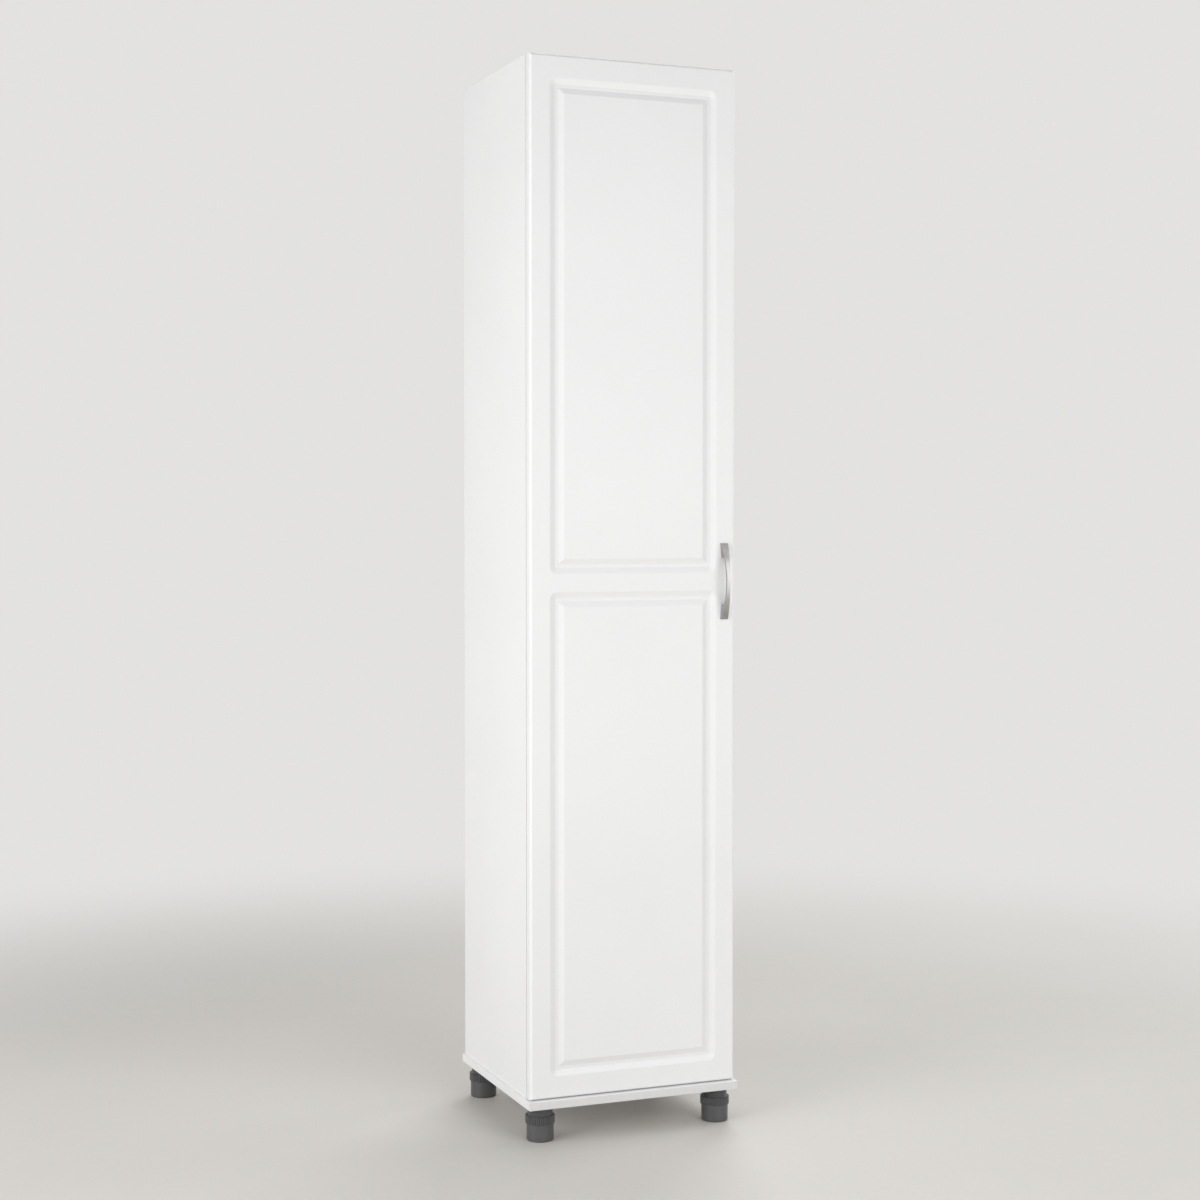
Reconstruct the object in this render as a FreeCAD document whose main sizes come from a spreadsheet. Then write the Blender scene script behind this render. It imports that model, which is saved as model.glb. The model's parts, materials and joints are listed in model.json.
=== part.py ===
"""Tall single-door broom cupboard on levelling feet, as a parametric document in millimetres.

Frame: X to the right, Y to the back, Z up; the origin is on the floor, in the middle of the outline.
"""
import FreeCAD, Part
import math
import os
import re

import Sketcher
from FreeCAD import Placement, Rotation, Vector

doc = FreeCAD.newDocument("broom_cupboard")

# Driving dimensions: name, value in millimetres or a count, and what it measures
SIZES = [
    ("carcass_width", 390, "over the two side panels"),
    ("carcass_depth", 340, "of a side panel, front to back"),
    ("carcass_height", 1813, "of a side panel"),
    ("board", 15, "thickness of sides, top and shelves"),
    ("back_board", 3, "thickness of the back panels"),
    ("back_inset", 2, "back panel in from the sides' outer faces"),
    ("back_joint", 1, "gap between the two back panels"),
    ("plate_board", 15, "thickness of the base plate"),
    ("plate_side_lip", 4.25, "base plate beyond each side panel"),
    ("plate_front_lip", 7, "base plate beyond the door face"),
    ("plate_arris", 1.2, "softened edge of the base plate"),
    ("shelf_setback", 24, "shelf front edge behind the carcass front"),
    ("shelf_play", 0.8, "adjustable shelf short of each side"),
    ("upper_bay_height", 500, "clear height above the fixed shelf"),
    ("pin_row_start", 150, "first shelf-pin hole above the fixed shelf"),
    ("pin_row_pitch", 32, "between shelf-pin holes"),
    ("pin_row_inset", 45, "pin holes in from the shelf's front and back"),
    ("pin_radius", 2.5, "shelf pin"),
    ("pin_in", 9, "shelf pin length in the side"),
    ("pin_out", 8, "shelf pin length under the shelf"),
    ("pin_room", 1, "shelf-pin hole beyond the pin's end"),
    ("peg_fit", 0.05, "radial room round pins and dowels"),
    ("cam_radius", 7.5, "cam lock"),
    ("cam_height", 12, "cam lock"),
    ("cam_setback", 34, "cam lock centre from the board's end"),
    ("cam_inset", 60, "cam locks in from the front and back"),
    ("cam_bolt_radius", 3, "cam bolt"),
    ("cam_bolt_in", 10, "cam bolt length in the side"),
    ("dowel_radius", 4, "wooden dowel"),
    ("dowel_length", 30, "wooden dowel"),
    ("dowel_in", 10, "dowel length in the drilled face"),
    ("dowel_offset", 32, "dowel from the cam lock beside it"),
    ("base_screw_inset", 120, "base screws in from the carcass front and back"),
    ("base_screw_radius", 2.5, "base screw shank"),
    ("base_screw_length", 46, "base screw under its head"),
    ("base_head_radius", 4.5, "base screw head"),
    ("base_head_height", 4, "base screw head"),
    ("bracket_leg", 28, "wall bracket leg"),
    ("bracket_width", 20, "wall bracket"),
    ("bracket_sheet", 2, "wall bracket thickness"),
    ("wall_hole_radius", 2.75, "hole for the wall screw"),
    ("wall_hole_drop", 18, "wall screw hole below the top panel"),
    ("small_screw_radius", 1.75, "small screw shank"),
    ("small_screw_length", 12, "small screw under its head"),
    ("small_head_radius", 3.8, "small screw head"),
    ("small_head", 1.8, "small screw head height"),
    ("door_board", 18, "door thickness"),
    ("door_gap", 2, "between the carcass and the door's back"),
    ("door_lift", 1.5, "door above the base plate"),
    ("door_drop", 1, "door below the carcass top"),
    ("door_round", 4.5, "rounded front edge of the door"),
    ("stile", 37, "flat margin beside the routing"),
    ("top_rail", 40, "flat margin above the upper routing"),
    ("bottom_rail", 38.5, "flat margin below the lower routing"),
    ("middle_rail", 32, "flat band between the routings"),
    ("middle_rail_height", 899, "middle of that band above the door's bottom"),
    ("route_slope", 10, "sloped outer wall of the routing, across the face"),
    ("route_land", 0.3, "upright foot of that wall"),
    ("route_depth", 4.2, "depth of the routing"),
    ("route_corner", 3, "outer corner radius of the routing's floor"),
    ("route_floor", 16, "outer edge of the routing to the raised field"),
    ("route_width", 26, "outer edge of the routing to the top of the field"),
    ("route_arris", 5, "rounded arris of the routing's outer wall"),
    ("handle_length", 136, "bow handle, end to end"),
    ("handle_end_width", 13.8, "bow handle at its ends"),
    ("handle_waist", 6.4, "bow handle at its middle"),
    ("handle_edge", 21, "bow handle's middle from the door's edge"),
    ("handle_reach", 21.5, "bow handle out from the door face"),
    ("handle_end_rise", 3, "bow handle's thickness at its tips"),
    ("handle_strap", 4.5, "bow handle's thickness at its middle"),
    ("handle_grip", 84, "length of the finger gap"),
    ("handle_round", 1.6, "rounded long edges of the bow handle"),
    ("handle_screw_pitch", 96, "between the handle screws"),
    ("handle_screw_radius", 2, "handle screw shank"),
    ("handle_screw_grip", 8, "handle screw length in the handle"),
    ("handle_head_radius", 4, "handle screw head"),
    ("handle_head", 2, "handle screw head height, sunk in the door"),
    ("bumper_radius", 4, "door bumper"),
    ("bumper_height", 1.7, "door bumper"),
    ("hinge_end", 110, "outer hinges from the door's ends"),
    ("hinge_drop", 111, "inner hinge below the fixed shelf"),
    ("cup_radius", 17.5, "hinge cup"),
    ("cup_depth", 11.5, "hinge cup"),
    ("cup_sheet", 0.9, "hinge cup wall"),
    ("cup_edge", 5, "hinge cup from the door's edge"),
    ("cup_fit", 0.1, "radial room round the cup in the door"),
    ("flange_radius", 18.9, "hinge cup flange"),
    ("flange_sheet", 0.8, "hinge cup flange thickness"),
    ("ear_width", 14, "hinge cup ears"),
    ("ear_offset", 9.5, "cup screws from the cup's middle"),
    ("ear_pitch", 48, "between the cup screws"),
    ("ear_margin", 5.5, "ear beyond its screw"),
    ("cup_pivot_x", 10.9, "cup pivot from the carcass's outer face"),
    ("cup_pivot_out", 5.1, "cup pivot in front of the carcass"),
    ("arm_pivot_x", 33, "arm pivot from the carcass's outer face"),
    ("arm_pivot_out", 7, "arm pivot in front of the carcass"),
    ("pivot_radius", 1.75, "hinge pins"),
    ("pivot_fit", 0.05, "radial running room round hinge pins"),
    ("link_bow", 3.6, "hinge link's bend off its straight line"),
    ("link_sheet", 2.5, "hinge link thickness"),
    ("link_eye", 3, "hinge link's eyes, outside radius"),
    ("link_width", 9, "hinge link"),
    ("arm_width", 13.4, "hinge arm over its cheeks"),
    ("arm_sheet", 1.5, "hinge arm thickness"),
    ("arm_nose", 3.2, "hinge arm round its pivot"),
    ("arm_rear", 58, "hinge arm's end behind the carcass front"),
    ("arm_overhang", 2, "hinge arm beyond the rear end of the mount's rail"),
    ("mount_setback", 37, "mount screws behind the carcass front"),
    ("mount_pitch", 32, "between the mount screws"),
    ("mount_base", 1.5, "hinge mount's foot thickness"),
    ("mount_rise", 10.5, "hinge mount's rail above the side"),
    ("mount_foot_depth", 34, "hinge mount's foot, front to back"),
    ("mount_foot_height", 46, "hinge mount's foot, up and down"),
    ("mount_rail_width", 10, "hinge mount's rail"),
    ("mount_rail_length", 32, "hinge mount's rail"),
    ("foot_height", 59.5, "base plate above the floor"),
    ("foot_inset", 31, "foot's middle in from the plate's edges"),
    ("foot_radius", 24, "foot cup"),
    ("foot_cup_height", 44, "foot cup with its collar"),
    ("foot_collar_radius", 26, "fluted collar"),
    ("foot_collar_height", 13.5, "fluted collar"),
    ("foot_floor", 4, "foot cup's bottom"),
    ("foot_arris", 2, "foot cup's bottom edge"),
    ("flute_count", 48, "flutes round the collar"),
    ("flute_depth", 1.3, "flutes"),
    ("flute_width", 1.8, "flutes, at the collar's face"),
    ("neck_radius", 22, "neck that the foot cup runs on"),
    ("neck_fit", 0.35, "radial room round the neck"),
    ("neck_length", 41, "neck below the base plate"),
    ("neck_wall", 4, "neck's wall and top"),
    ("foot_screw_in", 11, "foot screw length in the base plate"),
]
sheet = doc.addObject("Spreadsheet::Sheet", "Sizes")
for row, (alias, value, meaning) in enumerate(SIZES, start=1):
    sheet.set(f"A{row}", meaning)
    sheet.set(f"B{row}", str(value))
    sheet.setAlias(f"B{row}", alias)
doc.recompute()

SIZE_WORD = re.compile(r"\b(" + "|".join(alias for alias, _, _ in SIZES) + r")\b")

# Places that many pieces share, as formulas of the driving dimensions
REAR_Y = "((handle_reach + door_board + door_gap + carcass_depth + back_board) / 2)"
BACK_Y = f"({REAR_Y} - back_board)"
FRONT_Y = f"({BACK_Y} - carcass_depth)"
DOOR_BACK_Y = f"({FRONT_Y} - door_gap)"
DOOR_FACE_Y = f"({DOOR_BACK_Y} - door_board)"
LEFT_X = "(-carcass_width / 2)"
INNER_X = "(carcass_width / 2 - board)"
INNER_WIDTH = "(carcass_width - 2 * board)"
PLATE_TOP_Z = "(foot_height + plate_board)"
TOP_Z = f"({PLATE_TOP_Z} + carcass_height)"
CEILING_Z = f"({TOP_Z} - board)"
SHELF_Z = f"({CEILING_Z} - upper_bay_height - board)"
SHELF_DEPTH = "(carcass_depth - shelf_setback)"
DOOR_Z = f"({PLATE_TOP_Z} + door_lift)"
DOOR_HEIGHT = "(carcass_height - door_lift - door_drop)"
CUP_X = "(cup_edge + cup_radius)"

NEAR = 1e-4
TURNS = {
    "x": Rotation(Vector(0, 1, 0), 90),
    "-x": Rotation(Vector(0, 1, 0), -90),
    "y": Rotation(Vector(1, 0, 0), -90),
    "-y": Rotation(Vector(1, 0, 0), 90),
    "z": Rotation(),
}
pieces = []


def formula(text):
    """An expression on the sheet, from a formula in the names of the sizes."""
    return SIZE_WORD.sub(r"Sizes.\1", text)


def bind(item, **texts):
    for name, text in texts.items():
        item.setExpression(name, formula(text))


def place(item, x="0", y="0", z="0"):
    for axis, text in zip("xyz", (x, y, z)):
        item.setExpression(f"Placement.Base.{axis}", formula(text))
    return item


def piece(item, label):
    """Mark a finished sub-part; its label names its file."""
    item.Label = label
    pieces.append(item)
    return item


def box(name, corner, size):
    solid = doc.addObject("Part::Box", name)
    bind(solid, Length=size[0], Width=size[1], Height=size[2])
    return place(solid, *corner)


def rod(name, start, axis, radius, length):
    solid = doc.addObject("Part::Cylinder", name)
    solid.Placement = Placement(Vector(), TURNS[axis])
    bind(solid, Radius=radius, Height=length)
    return place(solid, *start)


def fuse(name, solids):
    result = doc.addObject("Part::MultiFuse", name)
    result.Shapes = solids
    return result


def group(name, solids):
    result = doc.addObject("Part::Compound", name)
    result.Links = solids
    return result


def cut(name, base, tools):
    result = doc.addObject("Part::Cut", name)
    result.Base = base
    result.Tool = group(f"{name}_tools", tools)
    return result


def common(name, first, second):
    result = doc.addObject("Part::Common", name)
    result.Base = first
    result.Tool = second
    return result


def new_body(name, x="0", y="0", z="0"):
    return place(doc.addObject("PartDesign::Body", name), x, y, z)


def new_sketch(body, name, role, offset="0"):
    """A sketch on one of the body's origin planes, moved along the plane's normal."""
    sketch = body.newObject("Sketcher::SketchObject", name)
    plane = next(item for item in body.Origin.OriginFeatures if item.Role == role)
    sketch.AttachmentSupport = [(plane, "")]
    sketch.MapMode = "FlatFace"
    sketch.setExpression("AttachmentOffset.Base.z", formula(offset))
    return sketch


def draw_polygon(sketch, corners):
    """A closed outline whose corners are formulas of the distance from the sketch's origin."""
    first = sketch.GeometryCount
    count = len(corners)
    turns = [2 * math.pi * i / count for i in range(count)]
    ring = [Vector(math.cos(turn), math.sin(turn), 0) for turn in turns]
    for i in range(count):
        sketch.addGeometry(Part.LineSegment(ring[i], ring[(i + 1) % count]))
    for i in range(count):
        following = first + (i + 1) % count
        sketch.addConstraint(Sketcher.Constraint("Coincident", first + i, 2, following, 1))
    for i, (across, up) in enumerate(corners):
        for kind, text in (("DistanceX", across), ("DistanceY", up)):
            constraint = sketch.addConstraint(Sketcher.Constraint(kind, -1, 1, first + i, 1, 1.0))
            sketch.setExpression(f"Constraints[{constraint}]", formula(text))


def draw_rectangle(sketch, left, right, bottom, top):
    draw_polygon(sketch, [(left, bottom), (right, bottom), (right, top), (left, top)])


def draw_circle(sketch, across, up, radius):
    ring = sketch.addGeometry(Part.Circle(Vector(1, 1, 0), Vector(0, 0, 1), 1))
    for kind, text in (("DistanceX", across), ("DistanceY", up)):
        constraint = sketch.addConstraint(Sketcher.Constraint(kind, -1, 1, ring, 3, 1.0))
        sketch.setExpression(f"Constraints[{constraint}]", formula(text))
    constraint = sketch.addConstraint(Sketcher.Constraint("Radius", ring, 1.0))
    sketch.setExpression(f"Constraints[{constraint}]", formula(radius))


def sweep_sketch(body, kind, name, sketch, length, side="One side", reverse=False):
    """A Pad or a Pocket of a sketch."""
    feature = body.newObject(f"PartDesign::{kind}", name)
    feature.Profile = sketch
    feature.SideType = side
    feature.Reversed = reverse
    bind(feature, Length=length)
    return feature


def fillet(body, name, base, radius, wanted):
    """Round those edges of the last feature that the test picks."""
    doc.recompute()
    edges = [f"Edge{i}" for i, edge in enumerate(base.Shape.Edges, start=1) if wanted(edge)]
    feature = body.newObject("PartDesign::Fillet", name)
    feature.Base = (base, edges)
    bind(feature, Radius=radius)
    return feature


def screw(name, start, axis, head_radius, head, shank_radius, shank):
    """A headed screw along an axis; start is the free face of its head."""
    head_solid = rod(f"{name}_head", start, axis, head_radius, head)
    shank_solid = rod(f"{name}_shank", start, axis, shank_radius, f"{head} + {shank}")
    return fuse(name, [head_solid, shank_solid])


# Carcass: places of the fixings
SIDES = {"left": -1, "right": 1}
CAM_BOARDS = {
    "top": (CEILING_Z, FRONT_Y, "carcass_depth"),
    "shelf": (SHELF_Z, f"({FRONT_Y} + shelf_setback)", SHELF_DEPTH),
}
PIN_ROWS = {
    "front": f"({FRONT_Y} + shelf_setback + pin_row_inset)",
    "back": f"({BACK_Y} - pin_row_inset)",
}
PIN_HOLES = 7
SHELF_HOLE = PIN_HOLES // 2
LOWEST_HINGE = f"({DOOR_Z} + hinge_end)"
SHELF_HINGE = f"({SHELF_Z} - hinge_drop)"
HIGHEST_HINGE = f"({DOOR_Z} + {DOOR_HEIGHT} - hinge_end)"
HINGE_HEIGHTS = [LOWEST_HINGE, f"(({LOWEST_HINGE} + {SHELF_HINGE}) / 2)", SHELF_HINGE, HIGHEST_HINGE]
HINGES = range(len(HINGE_HEIGHTS))


def inner_face(side):
    return f"({SIDES[side]} * {INNER_X})"


def outward(side):
    return {"left": "-x", "right": "x"}[side]


def inward(side):
    return {"left": "x", "right": "-x"}[side]


def cam_places(board_name):
    """Front and back places of a board's cam locks along Y."""
    _, start, depth = CAM_BOARDS[board_name]
    return {"front": f"({start} + cam_inset)", "back": f"({start} + {depth} - cam_inset)"}


def dowel_places():
    """Front and back places of the dowels beside the top's cam locks, along Y."""
    cams = cam_places("top")
    return {"front": f"({cams['front']} + dowel_offset)", "back": f"({cams['back']} - dowel_offset)"}


def pin_height(hole):
    return f"({SHELF_Z} + board + pin_row_start + {hole} * pin_row_pitch)"


def base_screw_places():
    return {"front": f"({FRONT_Y} + base_screw_inset)", "back": f"({BACK_Y} - base_screw_inset)"}


def side_end_x(side):
    """Middle of a side panel's thickness."""
    return f"({SIDES[side]} * (carcass_width - board) / 2)"


def mount_screw_heights(number):
    return [f"({HINGE_HEIGHTS[number]} + {sign} * mount_pitch / 2)" for sign in (-1, 1)]


def side_panel(side):
    """A side board, drilled for pins, cam bolts, dowels, base screws and, on the left, hinge mounts."""
    name = f"{side}_side"
    corner_x = LEFT_X if side == "left" else INNER_X
    blank = box(f"{name}_blank", (corner_x, FRONT_Y, PLATE_TOP_Z),
                ("board", "carcass_depth", "carcass_height"))
    face = inner_face(side)
    tools = []
    for row, y in PIN_ROWS.items():
        for hole in range(PIN_HOLES):
            start = (face, y, pin_height(hole))
            tools.append(rod(f"{name}_{row}_pin_hole_{hole}", start, outward(side),
                             "pin_radius + peg_fit", "pin_in + pin_room"))
    for board_name, (z, _, _) in CAM_BOARDS.items():
        for row, y in cam_places(board_name).items():
            start = (face, y, f"({z} + board / 2)")
            tools.append(rod(f"{name}_{board_name}_{row}_bolt_hole", start, outward(side),
                             "cam_bolt_radius", "cam_bolt_in"))
    for row, y in dowel_places().items():
        start = (face, y, f"({CEILING_Z} + board / 2)")
        tools.append(rod(f"{name}_{row}_dowel_hole", start, outward(side),
                         "dowel_radius + peg_fit", "dowel_in"))
        start = (side_end_x(side), y, PLATE_TOP_Z)
        tools.append(rod(f"{name}_{row}_base_dowel_hole", start, "z",
                         "dowel_radius + peg_fit", "dowel_length - dowel_in"))
    for row, y in base_screw_places().items():
        start = (side_end_x(side), y, PLATE_TOP_Z)
        tools.append(rod(f"{name}_{row}_base_screw_hole", start, "z", "base_screw_radius",
                         "base_head_height + base_screw_length - plate_board"))
    if side == "left":
        for number in HINGES:
            for z in mount_screw_heights(number):
                start = (face, f"({FRONT_Y} + mount_setback)", z)
                tools.append(rod(f"{name}_mount_hole_{len(tools)}", start, "-x",
                                 "small_screw_radius", "small_screw_length - mount_base"))
    piece(cut(name, blank, tools), f"{side}_side_panel")


def cam_board(board_name, label, extra_tools=()):
    """A board between the sides, drilled for cam locks from below and cam bolts from its ends."""
    z, start_y, depth = CAM_BOARDS[board_name]
    blank = box(f"{board_name}_blank", (f"(-{INNER_X})", start_y, z), (INNER_WIDTH, depth, "board"))
    tools = list(extra_tools)
    for side in SIDES:
        for row, y in cam_places(board_name).items():
            tag = f"{board_name}_{side}_{row}"
            cam_x = f"({SIDES[side]} * ({INNER_X} - cam_setback))"
            cam_hole = rod(f"{tag}_cam_hole", (cam_x, y, z), "z", "cam_radius + peg_fit", "cam_height")
            bolt_hole = rod(f"{tag}_bolt_hole", (inner_face(side), y, f"({z} + board / 2)"), inward(side),
                            "cam_bolt_radius + peg_fit", "cam_setback")
            tools.append(fuse(f"{tag}_drilling", [cam_hole, bolt_hole]))
    piece(cut(board_name, blank, tools), label)


def top_panel():
    tools = []
    for side in SIDES:
        for row, y in dowel_places().items():
            start = (inner_face(side), y, f"({CEILING_Z} + board / 2)")
            tools.append(rod(f"top_{side}_{row}_dowel_hole", start, inward(side),
                             "dowel_radius + peg_fit", "dowel_length - dowel_in"))
    tools.append(rod("top_bracket_hole", (*BRACKET_SCREW_XY, CEILING_Z), "z",
                     "small_screw_radius", "small_screw_length - bracket_sheet"))
    cam_board("top", "top_panel", tools)


def base_plate():
    """The plate under sides and door, drilled for dowels, base screws and the feet's screws."""
    body = new_body("base_plate_body", z="foot_height")
    outline = new_sketch(body, "plate_outline", "XY_Plane")
    half_width = "(carcass_width / 2 + plate_side_lip)"
    draw_rectangle(outline, f"(-{half_width})", half_width, f"({DOOR_FACE_Y} - plate_front_lip)", REAR_Y)
    slab = sweep_sketch(body, "Pad", "plate_slab", outline, "plate_board")
    doc.recompute()
    rear = slab.Shape.BoundBox.YMax - NEAR
    fillet(body, "plate_arris_round", slab, "plate_arris",
           lambda edge: edge.BoundBox.ZLength < NEAR and edge.BoundBox.YMin < rear)
    dowels = new_sketch(body, "plate_dowels", "XY_Plane", "plate_board")
    bores = new_sketch(body, "plate_screw_bores", "XY_Plane")
    heads = new_sketch(body, "plate_screw_heads", "XY_Plane")
    for side in SIDES:
        for y in dowel_places().values():
            draw_circle(dowels, side_end_x(side), y, "dowel_radius + peg_fit")
        for y in base_screw_places().values():
            draw_circle(bores, side_end_x(side), y, "base_screw_radius")
            draw_circle(heads, side_end_x(side), y, "base_head_radius")
    feet = new_sketch(body, "plate_foot_bores", "XY_Plane")
    for x, y in FEET.values():
        draw_circle(feet, x, y, "small_screw_radius")
    sweep_sketch(body, "Pocket", "plate_dowel_holes", dowels, "dowel_in")
    sweep_sketch(body, "Pocket", "plate_screw_holes", bores, "plate_board", reverse=True)
    sweep_sketch(body, "Pocket", "plate_head_holes", heads, "base_head_height", reverse=True)
    body.Tip = sweep_sketch(body, "Pocket", "plate_foot_holes", feet, "foot_screw_in", reverse=True)
    piece(body, "base_plate")


def adjustable_shelf():
    width = f"({INNER_WIDTH} - 2 * shelf_play)"
    corner = (f"(-{width} / 2)", f"({FRONT_Y} + shelf_setback)", f"({pin_height(SHELF_HOLE)} + pin_radius)")
    piece(box("adjustable_shelf_board", corner, (width, SHELF_DEPTH, "board")), "adjustable_shelf")


def shelf_pins():
    pins = []
    for side in SIDES:
        for row, y in PIN_ROWS.items():
            start_x = f"({SIDES[side]} * ({INNER_X} + pin_in))"
            pins.append(rod(f"shelf_pin_{side}_{row}", (start_x, y, pin_height(SHELF_HOLE)), inward(side),
                            "pin_radius", "pin_in + pin_out"))
    piece(group("shelf_pin_set", pins), "shelf_pins")


def cam_fixings():
    cams = []
    bolts = []
    for board_name, (z, _, _) in CAM_BOARDS.items():
        for side in SIDES:
            for row, y in cam_places(board_name).items():
                tag = f"{board_name}_{side}_{row}"
                cam_x = f"({SIDES[side]} * ({INNER_X} - cam_setback))"
                cams.append(rod(f"cam_{tag}", (cam_x, y, z), "z", "cam_radius", "cam_height"))
                bolt_x = f"({SIDES[side]} * ({INNER_X} + cam_bolt_in))"
                bolts.append(rod(f"bolt_{tag}", (bolt_x, y, f"({z} + board / 2)"), inward(side),
                                 "cam_bolt_radius", "cam_bolt_in + cam_setback - cam_radius - peg_fit"))
    piece(group("cam_lock_set", cams), "cam_locks")
    piece(group("cam_bolt_set", bolts), "cam_bolts")


def dowels():
    pegs = []
    for side in SIDES:
        for row, y in dowel_places().items():
            start_x = f"({SIDES[side]} * ({INNER_X} + dowel_in))"
            pegs.append(rod(f"dowel_top_{side}_{row}", (start_x, y, f"({CEILING_Z} + board / 2)"),
                            inward(side), "dowel_radius", "dowel_length"))
            start = (side_end_x(side), y, f"({PLATE_TOP_Z} - dowel_in)")
            pegs.append(rod(f"dowel_base_{side}_{row}", start, "z", "dowel_radius", "dowel_length"))
    piece(group("dowel_set", pegs), "dowels")


def base_screws():
    screws = []
    for side in SIDES:
        for row, y in base_screw_places().items():
            start = (side_end_x(side), y, "foot_height")
            screws.append(screw(f"base_screw_{side}_{row}", start, "z",
                                "base_head_radius", "base_head_height",
                                "base_screw_radius", "base_screw_length"))
    piece(group("base_screw_set", screws), "base_screws")


# Back: two thin panels that meet behind the fixed shelf, nailed to the rear edges
BACK_JOINT_Z = f"({SHELF_Z} + board / 2)"
BACK_SPANS = {
    "upper": (f"({BACK_JOINT_Z} + back_joint / 2)", TOP_Z),
    "lower": (PLATE_TOP_Z, f"({BACK_JOINT_Z} - back_joint / 2)"),
}
WALL_HOLE_Z = f"({CEILING_Z} - wall_hole_drop)"
BRACKET_SCREW_XY = ("0", f"({BACK_Y} - wall_hole_drop)")


def back_panels():
    width = "(carcass_width - 2 * back_inset)"
    for half, (bottom, top) in BACK_SPANS.items():
        blank = box(f"{half}_back_blank", (f"(-{width} / 2)", BACK_Y, bottom),
                    (width, "back_board", f"({top} - {bottom})"))
        if half == "upper":
            hole = rod("wall_screw_passage", ("0", BACK_Y, WALL_HOLE_Z), "y",
                       "wall_hole_radius", "back_board")
            blank = cut("upper_back", blank, [hole])
        piece(blank, f"{half}_back_panel")


def wall_bracket():
    """An angle under the top, against the back, for a screw into the wall."""
    left = "(-bracket_width / 2)"
    lying_corner = (left, f"({BACK_Y} - bracket_leg)", f"({CEILING_Z} - bracket_sheet)")
    lying = box("bracket_lying_leg", lying_corner, ("bracket_width", "bracket_leg", "bracket_sheet"))
    standing_corner = (left, f"({BACK_Y} - bracket_sheet)", f"({CEILING_Z} - bracket_leg)")
    standing = box("bracket_standing_leg", standing_corner, ("bracket_width", "bracket_sheet", "bracket_leg"))
    wall_hole = rod("bracket_wall_hole", ("0", f"({BACK_Y} - bracket_sheet)", WALL_HOLE_Z), "y",
                    "wall_hole_radius", "bracket_sheet")
    top_hole = rod("bracket_top_hole", (*BRACKET_SCREW_XY, f"({CEILING_Z} - bracket_sheet)"), "z",
                   "small_screw_radius", "bracket_sheet")
    piece(cut("bracket", fuse("bracket_angle", [lying, standing]), [wall_hole, top_hole]), "wall_bracket")
    start = (*BRACKET_SCREW_XY, f"({CEILING_Z} - bracket_sheet - small_head)")
    piece(screw("bracket_fixing", start, "z", "small_head_radius", "small_head",
                "small_screw_radius", "small_screw_length"), "bracket_screw")


# Door: a routed slab with two raised fields
FIELDS = {
    "lower": ("bottom_rail", "(middle_rail_height - middle_rail / 2)"),
    "upper": ("(middle_rail_height + middle_rail / 2)", f"({DOOR_HEIGHT} - top_rail)"),
}
HANDLE_X = "(carcass_width / 2 - handle_edge)"
HANDLE_Z = f"({DOOR_Z} + middle_rail_height)"


def draw_field(sketch, field, inset):
    """A field's outline, drawn in from the outer edge of its routing."""
    bottom, top = FIELDS[field]
    half = f"(carcass_width / 2 - stile - {inset})"
    draw_rectangle(sketch, f"(-{half})", half, f"({bottom} + {inset})", f"({top} - {inset})")


def chamfer(body, name, base, across, deep, wanted):
    """Slope the wall below those edges of the last feature that the test picks."""
    doc.recompute()
    edges = [f"Edge{i}" for i, edge in enumerate(base.Shape.Edges, start=1) if wanted(edge)]
    feature = body.newObject("PartDesign::Chamfer", name)
    feature.Base = (base, edges)
    feature.ChamferType = "Two distances"
    bind(feature, Size=across, Size2=deep)
    return feature


def runs_inward(length):
    """A test for straight edges of that length, square to the door's face."""
    return lambda edge: abs(edge.BoundBox.YLength - length) < NEAR and abs(edge.Length - length) < NEAR


def lies_at(depth, inset):
    """A test for edges at a depth below the door's face, inside the routing's outline."""
    limit = sheet.carcass_width / 2 - sheet.stile - inset + NEAR
    level = depth - sheet.door_board

    def test(edge):
        bounds = edge.BoundBox
        flat = abs(bounds.YMin - level) < NEAR and abs(bounds.YMax - level) < NEAR
        return flat and max(-bounds.XMin, bounds.XMax) < limit
    return test


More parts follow.
